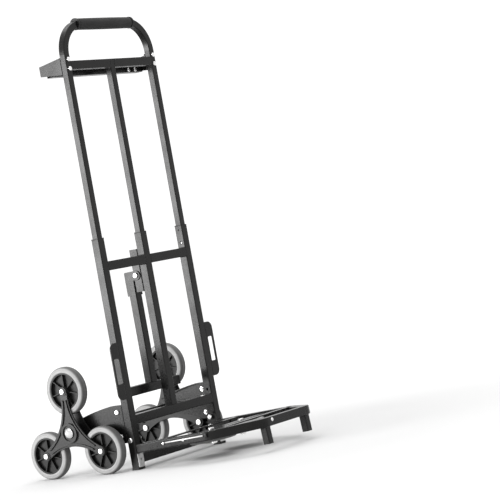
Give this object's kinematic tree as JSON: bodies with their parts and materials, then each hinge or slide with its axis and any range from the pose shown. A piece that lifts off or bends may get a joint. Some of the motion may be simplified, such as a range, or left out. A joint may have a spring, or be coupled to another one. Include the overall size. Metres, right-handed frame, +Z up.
{
  "type": "stair climbing trolley",
  "caption": "Telescopic hand truck on tri-star wheel clusters, with a fold-up toe frame that stores spare wheels and a fold-down prop leg.",
  "frame": {"origin": "on the floor, at the middle of the footprint", "axes": "+Z up along the rails, the toe frame points to -Y, the tri-stars are behind at +Y, +X is across the rails"},
  "size_m": [0.5, 0.7132, 1.2153],
  "materials": {
    "frame_powder": "black semi-gloss powder coat",
    "handle_powder": "black semi-gloss powder coat",
    "zinc": "bright zinc plate",
    "chrome_cap": "polished",
    "button_steel": "nickel plate",
    "black_plastic": "moulded, satin",
    "grip_foam": "matt dark grey foam rubber",
    "tyre_grey": "light grey moulded rubber",
    "rim_black": "moulded, satin",
    "spider_black": "moulded nylon, satin"
  },
  "bodies": {
    "frame": {"rail_right": "frame_powder", "rail_left": "frame_powder", "rail_centre": "frame_powder", "guide_bushes": "black_plastic", "cross_segments": "frame_powder", "cross_full": "frame_powder", "foot_caps": "black_plastic", "foot_pads": "zinc", "grab_plates": "frame_powder", "wings": "frame_powder", "wing_lugs": "frame_powder", "wing_bolts": "zinc", "axle": "frame_powder", "axle_caps": "chrome_cap", "toe_pivot_bolts": "zinc", "prop_post": "frame_powder", "prop_pivot_bolt": "zinc"},
    "handle": {"handle_tube": "handle_powder", "centre_tube": "handle_powder", "grip": "grip_foam", "grip_rings": "black_plastic", "head_bars": "handle_powder", "hook_plates": "handle_powder", "hook_bar": "handle_powder", "hook_bolts": "zinc"},
    "toe": {"toe_sides": "frame_powder", "toe_corners": "frame_powder", "toe_front": "frame_powder", "toe_lugs": "frame_powder", "toe_straps": "frame_powder", "spare_strap": "frame_powder", "toe_feet": "frame_powder", "toe_foot_caps": "black_plastic", "spare_bolts": "zinc", "spare_tyres": "tyre_grey", "spare_rims": "rim_black"},
    "prop": {"prop_leg": "frame_powder", "prop_foot": "frame_powder", "prop_foot_caps": "black_plastic", "prop_bracket": "frame_powder"},
    "button_right": {"lock_button_right": "button_steel"},
    "button_left": {"lock_button_left": "button_steel"},
    "star_right": {"spider_outer_right": "spider_black", "spider_inner_right": "spider_black", "star_bolts_right": "zinc"},
    "wheel_right_a": {"tyre_right_a": "tyre_grey", "rim_right_a": "rim_black"},
    "wheel_right_b": {"tyre_right_b": "tyre_grey", "rim_right_b": "rim_black"},
    "wheel_right_c": {"tyre_right_c": "tyre_grey", "rim_right_c": "rim_black"},
    "star_left": {"spider_outer_left": "spider_black", "spider_inner_left": "spider_black", "star_bolts_left": "zinc"},
    "wheel_left_a": {"tyre_left_a": "tyre_grey", "rim_left_a": "rim_black"},
    "wheel_left_b": {"tyre_left_b": "tyre_grey", "rim_left_b": "rim_black"},
    "wheel_left_c": {"tyre_left_c": "tyre_grey", "rim_left_c": "rim_black"}
  },
  "joints": [
    {"name": "handle_slide", "type": "slide", "parent": "frame", "child": "handle", "axis": [0, 0, -1], "range_m": [0, 0.415]},
    {"name": "toe_fold", "type": "hinge", "parent": "frame", "child": "toe", "pos_m": [0, 0.02331, 0.08], "axis": [-1, 0, 0], "range_deg": [0, 86.6]},
    {"name": "prop_fold", "type": "hinge", "parent": "frame", "child": "prop", "pos_m": [0, 0.05281, 0.506], "axis": [1, 0, 0], "range_deg": [0, 90]},
    {"name": "button_right_press", "type": "slide", "parent": "handle", "child": "button_right", "axis": [1, 0, 0], "range_m": [-0.0048, 0], "stiffness_N_per_m": 500},
    {"name": "button_left_press", "type": "slide", "parent": "handle", "child": "button_left", "axis": [-1, 0, 0], "range_m": [-0.0048, 0], "stiffness_N_per_m": 500},
    {"name": "star_right_spin", "type": "hinge", "parent": "frame", "child": "star_right", "pos_m": [0.2185, 0.19381, 0.1215], "axis": [1, 0, 0], "continuous": true},
    {"name": "wheel_right_a_spin", "type": "hinge", "parent": "star_right", "child": "wheel_right_a", "pos_m": [0.2185, 0.19381, 0.2345], "axis": [1, 0, 0], "continuous": true},
    {"name": "wheel_right_b_spin", "type": "hinge", "parent": "star_right", "child": "wheel_right_b", "pos_m": [0.2185, 0.09595, 0.065], "axis": [1, 0, 0], "continuous": true},
    {"name": "wheel_right_c_spin", "type": "hinge", "parent": "star_right", "child": "wheel_right_c", "pos_m": [0.2185, 0.29167, 0.065], "axis": [1, 0, 0], "continuous": true},
    {"name": "star_left_spin", "type": "hinge", "parent": "frame", "child": "star_left", "pos_m": [-0.2185, 0.19381, 0.1215], "axis": [1, 0, 0], "continuous": true},
    {"name": "wheel_left_a_spin", "type": "hinge", "parent": "star_left", "child": "wheel_left_a", "pos_m": [-0.2185, 0.19381, 0.2345], "axis": [1, 0, 0], "continuous": true},
    {"name": "wheel_left_b_spin", "type": "hinge", "parent": "star_left", "child": "wheel_left_b", "pos_m": [-0.2185, 0.09595, 0.065], "axis": [1, 0, 0], "continuous": true},
    {"name": "wheel_left_c_spin", "type": "hinge", "parent": "star_left", "child": "wheel_left_c", "pos_m": [-0.2185, 0.29167, 0.065], "axis": [1, 0, 0], "continuous": true}
  ]
}
